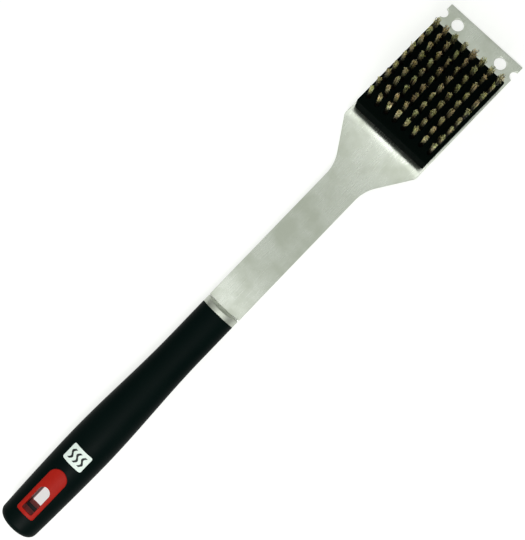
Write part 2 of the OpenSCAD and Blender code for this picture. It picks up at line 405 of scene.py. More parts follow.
def add_node(
    tree: bpy.types.NodeTree, kind: str, settings: dict | None = None, links: dict | None = None
) -> bpy.types.Node:
    """Adds a node, sets its values and joins its inputs.

    Args:
        tree: the node tree that it goes in.
        kind: Blender's name for the node's type.
        settings: values by the name or number of an input, or by the name of a property.
        links: sockets to take from, by the name or number of the input.

    Returns:
        The new node.
    """
    node = tree.nodes.new(kind)
    for key, value in (settings or {}).items():
        if isinstance(key, int) or key in node.inputs:
            node.inputs[key].default_value = value
        else:
            setattr(node, key, value)
    for key, socket in (links or {}).items():
        tree.links.new(socket, node.inputs[key])
    return node


def per_metre(size_mm: float) -> float:
    """The scale of a pattern whose features are this many millimetres across."""
    return 1.0 / (size_mm * MM)


@dataclass(frozen=True)
class Finish:
    """One surface of a real material, made by one process."""

    name: str = "finish"

    def dress(self, tree: bpy.types.NodeTree, shader: bpy.types.Node) -> None:
        """Sets the shader and adds the nodes of this finish. Each finish has its own.

        Args:
            tree: the material's nodes.
            shader: its Principled shader.
        """
        raise NotImplementedError

    def material(self) -> bpy.types.Material:
        """Makes the finish's material once, and then shares it.

        Returns:
            The material.
        """
        made = bpy.data.materials.get(self.name)
        if made is None:
            made = bpy.data.materials.new(self.name)
            made.use_nodes = True
            tree = made.node_tree
            self.dress(tree, next(n for n in tree.nodes if n.type == "BSDF_PRINCIPLED"))
        return made


@dataclass(frozen=True)
class GrainedStainless(Finish):
    """Stainless sheet 1.4301, belt-grained along the tool and then pressed.

    The belt leaves long fine scratches, which smear reflections across the tool, and cloudy
    patches of handling and oil vary the sheen a little.
    """

    name: str = "stainless_sheet_belt_grained"
    colour: str = "#D3D7CF"
    dull: str = "#C0C5B9"
    roughness: Point = (0.26, 0.36)
    smear: float = 0.65
    scratch_mm: float = 0.35  # real grain is 0.05 mm, drawn coarser so that it shows
    scratch_run: float = 60.0  # length of a scratch over its width
    cloud_mm: float = 17.0
    depth_mm: float = 0.012

    def dress(self, tree: bpy.types.NodeTree, shader: bpy.types.Node) -> None:
        """Adds the grain, and the clouds in the sheen.

        Args:
            tree: the material's nodes.
            shader: its Principled shader.
        """
        where = add_node(tree, "ShaderNodeTexCoord").outputs["Object"]
        along = add_node(
            tree, "ShaderNodeMapping", {"Scale": (1 / self.scratch_run, 1.0, 1.0)}, {"Vector": where}
        ).outputs["Vector"]
        grain = add_node(
            tree,
            "ShaderNodeTexNoise",
            {"Scale": per_metre(self.scratch_mm), "Detail": 3.0, "Roughness": 0.6},
            {"Vector": along},
        ).outputs["Fac"]
        cloud = add_node(
            tree,
            "ShaderNodeTexNoise",
            {"Scale": per_metre(self.cloud_mm), "Detail": 4.0, "Roughness": 0.55},
            {"Vector": where},
        ).outputs["Fac"]
        mixed = add_node(
            tree, "ShaderNodeMath", {"operation": "MULTIPLY"}, {0: grain, 1: cloud}
        ).outputs[0]
        haze = add_node(
            tree, "ShaderNodeMapRange", {"From Min": 0.36, "From Max": 0.64}, {"Value": cloud}
        ).outputs["Result"]
        colour = add_node(
            tree,
            "ShaderNodeMixRGB",
            {"Color1": linear(self.colour), "Color2": linear(self.dull)},
            {"Fac": haze},
        ).outputs["Color"]
        rough = add_node(
            tree,
            "ShaderNodeMapRange",
            {"From Min": 0.15, "From Max": 0.4, "To Min": self.roughness[0],
             "To Max": self.roughness[1]},
            {"Value": mixed},
        ).outputs["Result"]
        bump = add_node(
            tree,
            "ShaderNodeBump",
            {"Strength": 0.35, "Distance": self.depth_mm * MM},
            {"Height": grain},
        ).outputs["Normal"]
        normal = add_node(tree, "ShaderNodeNewGeometry").outputs["Normal"]
        across = add_node(
            tree,
            "ShaderNodeVectorMath",
            {"operation": "CROSS_PRODUCT", 1: (1.0, 0.0, 0.0)},
            {0: normal},
        ).outputs["Vector"]
        shader.inputs["Metallic"].default_value = 1.0
        shader.inputs["Anisotropic"].default_value = self.smear
        tree.links.new(across, shader.inputs["Tangent"])
        tree.links.new(colour, shader.inputs["Base Color"])
        tree.links.new(rough, shader.inputs["Roughness"])
        tree.links.new(bump, shader.inputs["Normal"])


@dataclass(frozen=True)
class PolishedStainless(Finish):
    """Thin stainless sheet, deep drawn and lightly buffed.

    The buffing leaves a satin that blurs reflections into soft bands, and the drawing leaves a
    faint ripple in them.
    """

    name: str = "stainless_cap_buffed"
    colour: str = "#BCC0B6"
    roughness: Point = (0.4, 0.55)
    ripple_mm: float = 3.5
    smear_mm: float = 0.8
    depth_mm: float = 0.03

    def dress(self, tree: bpy.types.NodeTree, shader: bpy.types.Node) -> None:
        """Adds the drawn sheet's ripple, and the smears of the buffing.

        Args:
            tree: the material's nodes.
            shader: its Principled shader.
        """
        where = add_node(tree, "ShaderNodeTexCoord").outputs["Object"]
        ripple = add_node(
            tree,
            "ShaderNodeTexNoise",
            {"Scale": per_metre(self.ripple_mm), "Detail": 1.0},
            {"Vector": where},
        ).outputs["Fac"]
        smear = add_node(
            tree,
            "ShaderNodeTexNoise",
            {"Scale": per_metre(self.smear_mm), "Detail": 4.0, "Roughness": 0.7},
            {"Vector": where},
        ).outputs["Fac"]
        rough = add_node(
            tree,
            "ShaderNodeMapRange",
            {"From Min": 0.35, "From Max": 0.65, "To Min": self.roughness[0],
             "To Max": self.roughness[1]},
            {"Value": smear},
        ).outputs["Result"]
        bump = add_node(
            tree,
            "ShaderNodeBump",
            {"Strength": 0.4, "Distance": self.depth_mm * MM},
            {"Height": ripple},
        ).outputs["Normal"]
        shader.inputs["Metallic"].default_value = 1.0
        shader.inputs["Base Color"].default_value = linear(self.colour)
        tree.links.new(rough, shader.inputs["Roughness"])
        tree.links.new(bump, shader.inputs["Normal"])


@dataclass(frozen=True)
class MouldedPlastic(Finish):
    """Injection-moulded plastic from an eroded mould.

    The mould's fine erosion leaves a tight even grain, which spreads the highlight, and
    slow differences in the melt's flow vary the sheen.
    """

    colour: str = "#010A09"
    worn: str = "#030E0C"
    roughness: Point = (0.4, 0.52)
    gloss: float = 0.035
    grain_mm: float = 0.3
    depth_mm: float = 0.012
    flow_mm: float = 18.0

    def dress(self, tree: bpy.types.NodeTree, shader: bpy.types.Node) -> None:
        """Adds the eroded grain, and the slow change of colour and sheen.

        Args:
            tree: the material's nodes.
            shader: its Principled shader.
        """
        where = add_node(tree, "ShaderNodeTexCoord").outputs["Object"]
        grain = add_node(
            tree,
            "ShaderNodeTexNoise",
            {"Scale": per_metre(self.grain_mm), "Detail": 2.0, "Roughness": 0.5},
            {"Vector": where},
        ).outputs["Fac"]
        flow = add_node(
            tree,
            "ShaderNodeTexNoise",
            {"Scale": per_metre(self.flow_mm), "Detail": 5.0, "Roughness": 0.6},
            {"Vector": where},
        ).outputs["Fac"]
        colour = add_node(
            tree,
            "ShaderNodeMixRGB",
            {"Color1": linear(self.colour), "Color2": linear(self.worn)},
            {"Fac": flow},
        ).outputs["Color"]
        rough = add_node(
            tree,
            "ShaderNodeMapRange",
            {"From Min": 0.3, "From Max": 0.7, "To Min": self.roughness[0],
             "To Max": self.roughness[1]},
            {"Value": flow},
        ).outputs["Result"]
        bump = add_node(
            tree,
            "ShaderNodeBump",
            {"Strength": 0.5, "Distance": self.depth_mm * MM},
            {"Height": grain},
        ).outputs["Normal"]
        shader.inputs["Specular IOR Level"].default_value = self.gloss
        tree.links.new(colour, shader.inputs["Base Color"])
        tree.links.new(rough, shader.inputs["Roughness"])
        tree.links.new(bump, shader.inputs["Normal"])


@dataclass(frozen=True)
class DrawnWire(Finish):
    """Hard brass wire, drawn, crimped and bundled.

    Each wire has its own shade of straw, and whole tufts drift towards olive or copper as batches
    and tarnish differ. Painted shade darkens the feet of all the wires, where shade falls between
    the tufts, so that only their upper parts show pale. A random share of the wires is dark along
    its whole length, which draws the bundle as separate dark and pale strands.
    """

    name: str = "brass_wire_drawn"
    pale: str = "#FFFFEC"
    deep: str = "#E8DE90"
    olive: str = "#D8E688"
    copper: str = "#F8CE92"
    # dark colour of the painted shade on the wires' feet, and of the wires that are dark throughout
    painted_shade_and_dark_wire: str = "#151109"
    roughness: float = 0.55
    batch_mm: float = 9.0
    dark_wire_share: Point = (0.25, 0.6)  # of all wires: dark up to the first, straw from the second
    painted_shade_line: Point = (0.42, 0.8)  # of the height: full painted shade up to the first, none from the second
    tint_share: float = 0.45

    def dress(self, tree: bpy.types.NodeTree, shader: bpy.types.Node) -> None:
        """Gives each wire and each tuft its tint, darkens a random share of the wires whole, and
        paints shade over the feet of all.

        Args:
            tree: the material's nodes.
            shader: its Principled shader.
        """
        coords = add_node(tree, "ShaderNodeTexCoord")
        wire = add_node(tree, "ShaderNodeNewGeometry").outputs["Random Per Island"]
        batch = add_node(
            tree,
            "ShaderNodeTexNoise",
            {"Scale": per_metre(self.batch_mm), "Detail": 1.0},
            {"Vector": coords.outputs["Object"]},
        ).outputs["Fac"]
        drift = add_node(
            tree, "ShaderNodeMapRange", {"From Min": 0.38, "From Max": 0.62}, {"Value": batch}
        ).outputs["Result"]
        straw = add_node(
            tree,
            "ShaderNodeMixRGB",
            {"Color1": linear(self.pale), "Color2": linear(self.deep)},
            {"Fac": wire},
        ).outputs["Color"]
        tint = add_node(
            tree,
            "ShaderNodeMixRGB",
            {"Color1": linear(self.olive), "Color2": linear(self.copper)},
            {"Fac": drift},
        ).outputs["Color"]
        shade = add_node(
            tree, "ShaderNodeMixRGB", {"Fac": self.tint_share}, {"Color1": straw, "Color2": tint}
        ).outputs["Color"]
        # painted shade: every wire darkens towards its foot, where shade falls between the tufts
        rise = add_node(
            tree, "ShaderNodeSeparateXYZ", links={"Vector": coords.outputs["Generated"]}
        ).outputs["Z"]
        above_shade = add_node(
            tree,
            "ShaderNodeMapRange",
            {"From Min": self.painted_shade_line[0], "From Max": self.painted_shade_line[1]},
            {"Value": rise},
        ).outputs["Result"]
        worn = add_node(
            tree, "ShaderNodeTexWhiteNoise", {"noise_dimensions": "1D"}, {"W": wire}
        ).outputs["Value"]
        kept = add_node(
            tree,
            "ShaderNodeMapRange",
            {"From Min": self.dark_wire_share[0], "From Max": self.dark_wire_share[1]},
            {"Value": worn},
        ).outputs["Result"]
        straw_share = add_node(
            tree, "ShaderNodeMath", {"operation": "MULTIPLY"}, {0: above_shade, 1: kept}
        ).outputs[0]
        colour = add_node(
            tree,
            "ShaderNodeMixRGB",
            {"Color1": linear(self.painted_shade_and_dark_wire)},
            {"Fac": straw_share, "Color2": shade},
        ).outputs["Color"]
        shader.inputs["Metallic"].default_value = 1.0
        shader.inputs["Roughness"].default_value = self.roughness
        tree.links.new(colour, shader.inputs["Base Color"])


@dataclass(frozen=True)
class ZincPlate(Finish):
    """Bright zinc on steel: a bluish metal with a fine crystalline haze."""

    name: str = "steel_fastener_zinc_plated"
    colour: str = "#B9BEC2"
    haze: str = "#A3A6A4"
    roughness: Point = (0.22, 0.4)
    crystal_mm: float = 0.6

    def dress(self, tree: bpy.types.NodeTree, shader: bpy.types.Node) -> None:
        """Adds the crystals of the plating.

        Args:
            tree: the material's nodes.
            shader: its Principled shader.
        """
        where = add_node(tree, "ShaderNodeTexCoord").outputs["Object"]
        crystal = add_node(
            tree,
            "ShaderNodeTexNoise",
            {"Scale": per_metre(self.crystal_mm), "Detail": 3.0},
            {"Vector": where},
        ).outputs["Fac"]
        colour = add_node(
            tree,
            "ShaderNodeMixRGB",
            {"Color1": linear(self.colour), "Color2": linear(self.haze)},
            {"Fac": crystal},
        ).outputs["Color"]
        rough = add_node(
            tree,
            "ShaderNodeMapRange",
            {"From Min": 0.3, "From Max": 0.7, "To Min": self.roughness[0],
             "To Max": self.roughness[1]},
            {"Value": crystal},
        ).outputs["Result"]
        shader.inputs["Metallic"].default_value = 1.0
        tree.links.new(colour, shader.inputs["Base Color"])
        tree.links.new(rough, shader.inputs["Roughness"])


@dataclass(frozen=True)
class PadInk(Finish):
    """Two-part ink, pad printed: matt, with the uneven lay-down of a soft pad."""

    name: str = "ink_pad_printed_white"
    colour: str = "#E2EDE6"
    thin: str = "#C3D0C9"
    mottle_mm: float = 0.9

    def dress(self, tree: bpy.types.NodeTree, shader: bpy.types.Node) -> None:
        """Adds the mottle of the ink film.

        Args:
            tree: the material's nodes.
            shader: its Principled shader.
        """
        where = add_node(tree, "ShaderNodeTexCoord").outputs["Object"]
        mottle = add_node(
            tree,
            "ShaderNodeTexNoise",
            {"Scale": per_metre(self.mottle_mm), "Detail": 4.0, "Roughness": 0.7},
            {"Vector": where},
        ).outputs["Fac"]
        colour = add_node(
            tree,
            "ShaderNodeMixRGB",
            {"Color1": linear(self.colour), "Color2": linear(self.thin)},
            {"Fac": mottle},
        ).outputs["Color"]
        shader.inputs["Roughness"].default_value = 0.55
        shader.inputs["Specular IOR Level"].default_value = 0.3
        tree.links.new(colour, shader.inputs["Base Color"])


@dataclass(frozen=True)
class LitAcrylic(Finish):
    """Opal acrylic sheet lit from below: an even pale glow that leaves only soft shadows."""

    name: str = "table_white_acrylic"
    colour: str = "#A0A19F"
    lit: str = "#F7F8F6"
    glow: float = 0.74

    def dress(self, tree: bpy.types.NodeTree, shader: bpy.types.Node) -> None:
        """Sets the matt face and its glow.

        Args:
            tree: the material's nodes.
            shader: its Principled shader.
        """
        shader.inputs["Base Color"].default_value = linear(self.colour)
        shader.inputs["Roughness"].default_value = 0.7
        shader.inputs["Specular IOR Level"].default_value = 0.1
        shader.inputs["Emission Color"].default_value = linear(self.lit)
        shader.inputs["Emission Strength"].default_value = self.glow


STEEL = GrainedStainless()
CAP = PolishedStainless()
BLACK_ABS = MouldedPlastic(name="abs_black_moulded")
RED_ABS = MouldedPlastic(
    name="abs_red_moulded", colour="#A01E15", worn="#901810", roughness=(0.38, 0.48), gloss=0.05,
    grain_mm=0.5, depth_mm=0.004, flow_mm=12.0,
)
BLACK_PP = MouldedPlastic(
    name="polypropylene_black_moulded", colour="#030806", worn="#050B09", roughness=(0.66, 0.8),
    gloss=0.01, grain_mm=0.4, depth_mm=0.015, flow_mm=9.0,
)
BRASS = DrawnWire()
ZINC = ZincPlate()
WHITE_INK = PadInk()
BLACK_INK = PadInk(name="ink_pad_printed_black", colour="#0E1413", thin="#171E1C")
TABLE = LitAcrylic()


# ---- pieces ----------------------------------------------------------------------------------


def place(
    bm: bmesh.types.BMesh,
    name: str,
    frame_of: Matrix,
    finish: Finish,
    slot: Slot,
    replaces: Sequence[str] = (),
    weighted: bool = True,
) -> bpy.types.Object:
    """Makes a finished piece of the object from a mesh in millimetres.

    Args:
        bm: the piece's mesh, in its sub-assembly's own frame.
        name: the piece's name.
        frame_of: from that frame to the row's frame.
        finish: its surface.
        slot: the record's slot that its finish stands for; not used.
        replaces: the CAD nodes that it stands for.
        weighted: keeps large faces flat where they meet rounded edges.

    Returns:
        The piece, riding on the part's one body.
    """
    bm.transform(frame_of)
    piece = as_object(bm, name)
    piece.data.shade_smooth()
    piece.data.set_sharp_from_angle(angle=SHARP_EDGE)
    if weighted:
        weigh = piece.modifiers.new("weighted_normals", "WEIGHTED_NORMAL")
        weigh.keep_sharp = True
    piece.data.materials.append(finish.material())
    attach(piece, ROOT)
    if replaces:
        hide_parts(*replaces)
    log.info("%s: %d faces, %s", name, len(piece.data.polygons), finish.name)
    return piece


@dataclass(frozen=True)
class Blade:
    """The one-piece sheet: tang, neck, flare, head plate and scraper, with two soft bends."""

    datum: Datum
    length: float
    sheet: float = 1.5
    neck_w: float = 26.0
    tang_w: float = 14.0
    tang_end: float = 38.7
    shoulder: float = 197.6
    head_w: float = 64.0
    head_l: float = 97.3
    flare_angle: float = 33.0
    flare_radius: float = 28.0
    flare_to_block: float = 7.8
    flare_corner: float = 3.0
    neck_slope: float = 1.4
    neck_bend: float = 199.0
    neck_radius: float = 1200.0
    head_radius: float = 110.0
    head_lead: float = 1.0
    hole_r: float = 4.3
    hole_pitch: float = 38.4
    hole_inset: float = 8.3
    notch_r: float = 3.4
    clamp_hole_r: float = 2.2
    clamp_x: float = 44.7
    screw_hole_r: float = 1.8
    edge: float = 0.22
    neck_zone: tuple[int, int] = (190, 235)  # cut finely for the neck's bend

    @property
    def head_x(self) -> float:
        """Where the head's frame starts along the tool."""
        return self.length - self.head_l * math.cos(self.datum.tilt)

    def bends(self) -> list[tuple[float, float, float]]:
        """Works out where the sheet's two bends lie.

        Returns:
            Each bend's start along the tool, its radius, and the slope after it in radians.
        """
        slope, tilt = math.radians(self.neck_slope), self.datum.tilt
        head_bend = (
            self.head_x - (self.sheet / 2 + self.head_radius) * math.sin(tilt)
            - self.head_lead * math.cos(tilt) + self.head_radius * math.sin(slope)
        )
        return [(self.neck_bend, self.neck_radius, slope), (head_bend, self.head_radius, tilt)]

    def middle(self, x: float) -> tuple[float, float]:
        """The sheet's middle line, seen from the side.

        Args:
            x: distance along the tool.

        Returns:
            The line's height there, and its downward slope in radians.
        """
        height, slope, at = 0.0, 0.0, self.tang_end
        for start, radius, target in self.bends():
            if x <= start:
                break
            height -= (start - at) * math.tan(slope)
            at = min(x, start + radius * (math.sin(target) - math.sin(slope)))
            bent = math.asin(math.sin(slope) + (at - start) / radius)
            height -= radius * (math.cos(slope) - math.cos(bent))
            slope = bent
        return height - (x - at) * math.tan(slope), slope

    def edge_line(self) -> Loop:
        """Draws one long edge of the sheet, seen from above.

        Returns:
            The points, from the tang's end to the scraper.
        """
        half_neck, half_head, corner = self.neck_w / 2, self.head_w / 2, self.flare_corner
        flare_end = self.head_x - self.flare_to_block
        flare_x = flare_end - (half_head - half_neck) / math.tan(math.radians(self.flare_angle))
        half_turn = math.tan(math.radians(self.flare_angle) / 2)
        tang_r, shoulder_r, tip_r = self.tang_w / 2, 0.8, 0.6
        notch_x = self.on_plate(self.head_l - self.hole_inset)
        return (
            arc((self.tang_end + tang_r, 0.0), tang_r, 180, 90, 14)
            + [(self.shoulder, tang_r)]
            + arc((self.shoulder + shoulder_r, half_neck - shoulder_r), shoulder_r, 180, 90, 4)
            + arc((flare_x - self.flare_radius * half_turn, half_neck + self.flare_radius),
                  self.flare_radius, -90, self.flare_angle - 90, 18)
            + arc((flare_end + corner * half_turn, half_head - corner), corner,
                  90 + self.flare_angle, 90, 6)
            + arc((notch_x, half_head), self.notch_r, 180, 360, 18)
            + arc((self.length - tip_r, half_head - tip_r), tip_r, 90, 0, 4)
        )

    def on_plate(self, along: float) -> float:
        """Distance along the tool of a place on the head plate."""
        return self.head_x + along * math.cos(self.datum.tilt)

    def holes(self, screws: Sequence[Point]) -> list[Loop]:
        """Outlines of every hole in the sheet.

        Args:
            screws: places of the block's screws, on the head plate.

        Returns:
            One loop of points for each hole.
        """
        hook_x = self.on_plate(self.head_l - self.hole_inset)
        hooks = [circle((hook_x, s * self.hole_pitch / 2), self.hole_r, 40) for s in (-1, 1)]
        drilled = [circle((self.on_plate(x), y), self.screw_hole_r, 20) for x, y in screws]
        return [circle((self.clamp_x, 0.0), self.clamp_hole_r, 20), *hooks, *drilled]

    def blank(self, screws: Sequence[Point]) -> bmesh.types.BMesh:
        """The flat punched blank, with its edges broken by tumbling.

        Args:
            screws: places of the block's screws, on the head plate.

        Returns:
            The flat blank, centred on its middle plane.
        """
        upper = self.edge_line()
        rim = upper + [(x, -y) for x, y in reversed(upper)][:-1]
        bm = bmesh.new()
        for loop in (rim, *self.holes(screws)):
            verts = [bm.verts.new((x, y, -self.sheet / 2)) for x, y in loop]
            for a, b in zip(verts, verts[1:] + verts[:1]):
                bm.edges.new((a, b))
        bmesh.ops.triangle_fill(bm, use_beauty=True, edges=bm.edges[:])
        bmesh.ops.remove_doubles(bm, verts=bm.verts, dist=MERGE_DISTANCE)
        # edges across the sheet lie close together through the bends, and wide apart elsewhere
        neck_bend, head_bend = (start for start, _, _ in self.bends())
        zone = range(self.neck_zone[0], self.neck_zone[1] + 1)
        stations = [neck_bend + 3.0 * i for i in range(11)]
        stations += [head_bend + 0.6 * i for i in range(-1, 14)]
        stations += [x for x in range(50, int(self.length), 12) if x not in zone]
        for x in stations:
            score(bm, (x, 0.0, 0.0), (1.0, 0.0, 0.0))
        for y in range(-24, 25, 8):
            score(bm, (0.0, y, 0.0), (0.0, 1.0, 0.0))
        grown = bmesh.ops.extrude_face_region(bm, geom=bm.faces[:], use_keep_orig=True)
        lifted = [v for v in grown["geom"] if isinstance(v, bmesh.types.BMVert)]
        bmesh.ops.translate(bm, verts=lifted, vec=(0.0, 0.0, self.sheet))
        bmesh.ops.recalc_face_normals(bm, faces=bm.faces)
        rims = [e for e in bm.edges if len(e.link_faces) == 2 and e.calc_face_angle() > RIM_ANGLE
                and abs(e.verts[0].co.z - e.verts[1].co.z) < MERGE_DISTANCE]
        bmesh.ops.bevel(bm, geom=rims, offset=self.edge, segments=2, profile=0.5,
                        affect="EDGES", clamp_overlap=False)
        return bm

    def build(self, screws: Sequence[Point]) -> None:
        """Bends the blank and dresses it.

        Args:
            screws: places of the block's screws, on the head plate.
        """
        bm = self.blank(screws)
        for vert in bm.verts:
            height, slope = self.middle(vert.co.x)
            away = vert.co.z
            vert.co.x = min(vert.co.x + away * math.sin(slope), self.length)
            vert.co.z = height + away * math.cos(slope)
        place(bm, "blade_sheet", self.datum.on_axis(), STEEL, Slot.STEEL, ("blade",))


@dataclass(frozen=True)
class Grip:
    """The oval grip: two shells, two coloured inserts, and a printed panel."""

    datum: Datum
    length: float = 192.0
    width: float = 31.6
    rear_w: float = 28.0
    front_w: float = 26.0
    wall: float = 3.0
    belly_x: float = 70.0
    waist_x: float = 162.0
    end_bulge: float = 1.2
    end_corner: float = 5.0
    spigot_r: float = 12.3
    spigot_l: float = 2.0  # kept clear of the cap's leaning crown
    hollow_from: float = 56.0
    seam: float = 0.15
    insert_floor: float = 9.3
    insert_proud: float = 0.25
    insert_edge: float = 0.45
    tube_wall: float = 1.2
    web: float = 3.4
    gap: float = 0.1
    clamp_x: float = Blade.clamp_x
    clamp_hole_r: float = Blade.clamp_hole_r
    screw_recess: Point = (3.7, 6.5)  # radius, and height of its floor
    nut_recess: Point = (4.15, 5.8)
    channel_x: float = 38.6
    channel_y: float = 7.1  # half the width of the channel for the tang
    channel_z: float = 0.85
    slot: Tongue = Tongue(17.0, 20.0, 8.4, 0.6)
    face: Tongue = Tongue(14.3, 37.4, 14.0, 1.4)

    @property
    def oval(self) -> float:
        """Height of the section over its width: the belly rests on the surface."""
        return 2 * self.datum.axis_height / MM / self.width

    def radius(self, x: float) -> float:
        """Half the grip's width, swelling to the belly and narrowing to the waist.

        Args:
            x: distance from the grip's end.

        Returns:
            The half width there.
        """
        if x < self.belly_x:
            return (self.width - (self.width - self.rear_w) * (1 - x / self.belly_x) ** 1.5) / 2
        if x < self.waist_x:
            share = (x - self.belly_x) / (self.waist_x - self.belly_x)
            swell = (1 + math.cos(math.pi * share)) / 2
            return (self.front_w + (self.width - self.front_w) * swell) / 2
        return self.front_w / 2

    def height(self, x: float, y: float) -> float:
        """Height of the grip's surface above its axis."""
        return self.oval * math.sqrt(max(self.radius(x) ** 2 - y * y, 0.0))

    def outline(self) -> Loop:
        """Draws the section of the grip that is turned into its body.

        Returns:
            (distance, radius) points, from the middle of its end to the front of its spigot.
        """
        r0 = self.radius(self.end_bulge + self.end_corner)
        corner_y = r0 - self.end_corner
        bulge = [
            (self.end_bulge * (i / 5) ** 2, corner_y * i / 5) for i in range(5)
        ]
        corner = arc((self.end_bulge + self.end_corner, corner_y), self.end_corner, 180, 90, 9)
        run = self.end_bulge + self.end_corner
        body = [(x, self.radius(x)) for x in evenly(run, self.length - 0.3, 116)[1:]]
        lip = [(self.length, self.front_w / 2 - 0.3), (self.length, self.spigot_r),
               (self.length + self.spigot_l - 0.4, self.spigot_r),
               (self.length + self.spigot_l, self.spigot_r - 0.4),
               (self.length + self.spigot_l, 0.0)]
        return bulge + corner + body + lip

    def half_turning(self, outline: Loop, seam: float, steps: int = 44) -> bmesh.types.BMesh:
        """The upper half of a solid with the grip's oval section.

        Args:
            outline: (distance, radius) points, from the axis and back to it.
            seam: how far the edges of the flat side are chamfered.
            steps: number of stretches round the half.

        Returns:
            A closed half, with its flat side on the axis plane.
        """
        rings: list[Ring] = []
        for x, r in outline:
            small = min(seam, r)
            curve = [Vector((x, r - small, 0.0))]
            for i in range(steps + 1):
                turn = math.pi * i / steps
                turn = min(max(turn, small / max(r, 1e-6)), math.pi - small / max(r, 1e-6))
                curve.append(Vector((x, r * math.cos(turn), self.oval * r * math.sin(turn))))
            curve.append(Vector((x, small - r, 0.0)))
            rings.append(curve)
        bm = skin(rings)
        bmesh.ops.holes_fill(bm, edges=[e for e in bm.edges if e.is_boundary])
        bmesh.ops.recalc_face_normals(bm, faces=bm.faces)
        return bm

    def build(self) -> None:
        """Builds both shells, both inserts and the print."""
        for side in Side:
            self.build_shell(side)
            self.build_insert(side)
        self.build_print()

    def shell_cutters(self, side: Side) -> list[bmesh.types.BMesh]:
        """Builds the solids that are taken out of a half to make it a shell.

        Args:
            side: the half, which decides on the screw's recess or the nut's.

        Returns:
            The chamber, the tang's channel, the insert's pocket and the recess.
        """
        inner = [(x, self.radius(x) - self.wall)
                 for x in evenly(self.hollow_from, self.length, 40)]
        front = self.length + self.spigot_l + 1
        hollow = [(self.hollow_from, 0.0), *inner, (front, inner[-1][1]), (front, 0.0)]
        chamber = self.half_turning(hollow, 0.0, 32)
        bmesh.ops.translate(chamber, verts=chamber.verts, vec=(0.0, 0.0, -0.02))
        slot, tube, face = (
            self.slot.outline(), self.slot.outline(self.tube_wall + self.gap),
            self.face.outline(self.gap),
        )
        floor, web = self.insert_floor, self.web
        recess_r, recess_floor = self.screw_recess if side is Side.UPPER else self.nut_recess
        shank = circle((self.clamp_x, 0.0), self.clamp_hole_r, 24)
        recess = circle((self.clamp_x, 0.0), recess_r, 24)
        y = self.channel_y
        return [
            chamber,
            prism(rectangle((self.channel_x, -y), (front, y)), -1.0, self.channel_z),
            stepped([(slot, -1.0), (slot, web), (tube, web), (tube, floor), (face, floor),
                     (face, 30.0)]),
            stepped([(shank, -0.5), (shank, recess_floor), (recess, recess_floor),
                     (recess, floor + 0.5)]),
        ]

    def half_frame(self, side: Side) -> Matrix:
        """From an upper half's millimetres to that side of the grip, in the row's frame."""
        flip = Matrix.Scale(side.value, 4, Vector((0.0, 0.0, 1.0)))
        return self.datum.on_axis() @ flip

    def build_shell(self, side: Side) -> None:
        """Builds one moulded half with its slot, pocket and screw recess.

        Args:
            side: the half that is built.
        """
        bm = carve(self.half_turning(self.outline(), self.seam), self.shell_cutters(side))
        word = side.name.lower()
        self.place_half(bm, side, f"grip_shell_{word}", BLACK_ABS, Slot.GRIP, f"grip_{word}_shell")

    def place_half(
        self, bm: bmesh.types.BMesh, side: Side, name: str, finish: Finish, slot: Slot, node: str
    ) -> None:
        """Places a piece that was built as the upper half on its own side of the grip.

        Args:
            bm: the piece's mesh.
            side: the side that it goes on.
            name: the piece's name.
            finish: its surface.
            slot: the record's slot that its finish stands for.
            node: the CAD node that it stands for.
        """
        if side is Side.LOWER:
            bmesh.ops.reverse_faces(bm, faces=bm.faces[:])
        place(bm, name, self.half_frame(side), finish, slot, (node,))

    def build_insert(self, side: Side) -> None:
        """Builds a coloured insert: a crowned face round a tube that lines the slot.

        Args:
            side: the side of the grip that it is let into.
        """
        edge, proud = self.insert_edge, self.insert_proud
        rings: list[Ring] = []

        def add(loop: Loop, height: Callable[[float, float], float]) -> None:
            """Adds one ring of the insert."""
            rings.append([Vector((x, y, height(x, y))) for x, y in loop])

        def skin_height(drop: float) -> Callable[[float, float], float]:
            """Heights that follow the insert's face, lowered by drop."""
            return lambda x, y: self.height(x, y) + proud - drop

        add(self.slot.outline(), lambda x, y: self.web)
        for i in range(4):
            add(self.slot.outline(), lambda x, y, i=i: (
                self.web + (self.height(x, y) + proud - edge - self.web) * (i + 1) / 4))
        for turn in (30, 60, 90):
            a = math.radians(turn)
            add(self.slot.outline(edge * (1 - math.cos(a))), skin_height(edge * (1 - math.sin(a))))
        for i in range(1, 10):
            add(between(self.slot.outline(edge), self.face.outline(-edge), i / 10),
                skin_height(0.0))
        for turn in (90, 60, 30, 0):
            a = math.radians(turn)
            add(self.face.outline(edge * (math.cos(a) - 1)), skin_height(edge * (1 - math.sin(a))))
        add(self.face.outline(), lambda x, y: self.insert_floor)
        add(self.slot.outline(self.tube_wall), lambda x, y: self.insert_floor)
        add(self.slot.outline(self.tube_wall), lambda x, y: self.web)
        word = side.name.lower()
        self.place_half(skin(rings, closed=True), side, f"insert_{word}", RED_ABS, Slot.INSERT,
                        f"{word}_insert")

    def film(self, loop: Loop, lift: float) -> bmesh.types.BMesh:
        """A thin film of ink that follows the grip's upper surface.

        Args:
            loop: the film's outline, as (distance, offset) points.
            lift: height of its top over the surface.

        Returns:
            A closed film, cut fine enough to follow the curve.
        """
        bm = bmesh.new()
        verts = [bm.verts.new((x, y, 0.0)) for x, y in loop]
        bm.faces.new(verts)
        xs, ys = [x for x, _ in loop], [y for _, y in loop]
        for x in evenly(min(xs), max(xs), 14)[1:-1]:
            score(bm, (x, 0.0, 0.0), (1.0, 0.0, 0.0))
        for y in evenly(min(ys), max(ys), 18)[1:-1]:
            score(bm, (0.0, y, 0.0), (0.0, 1.0, 0.0))
        grown = bmesh.ops.extrude_face_region(bm, geom=bm.faces[:], use_keep_orig=True)
        top = {v for v in grown["geom"] if isinstance(v, bmesh.types.BMVert)}
        for vert in bm.verts:
            level = lift if vert in top else -0.05
            vert.co.z = self.height(vert.co.x, vert.co.y) + level
        bmesh.ops.recalc_face_normals(bm, faces=bm.faces)
        return bm

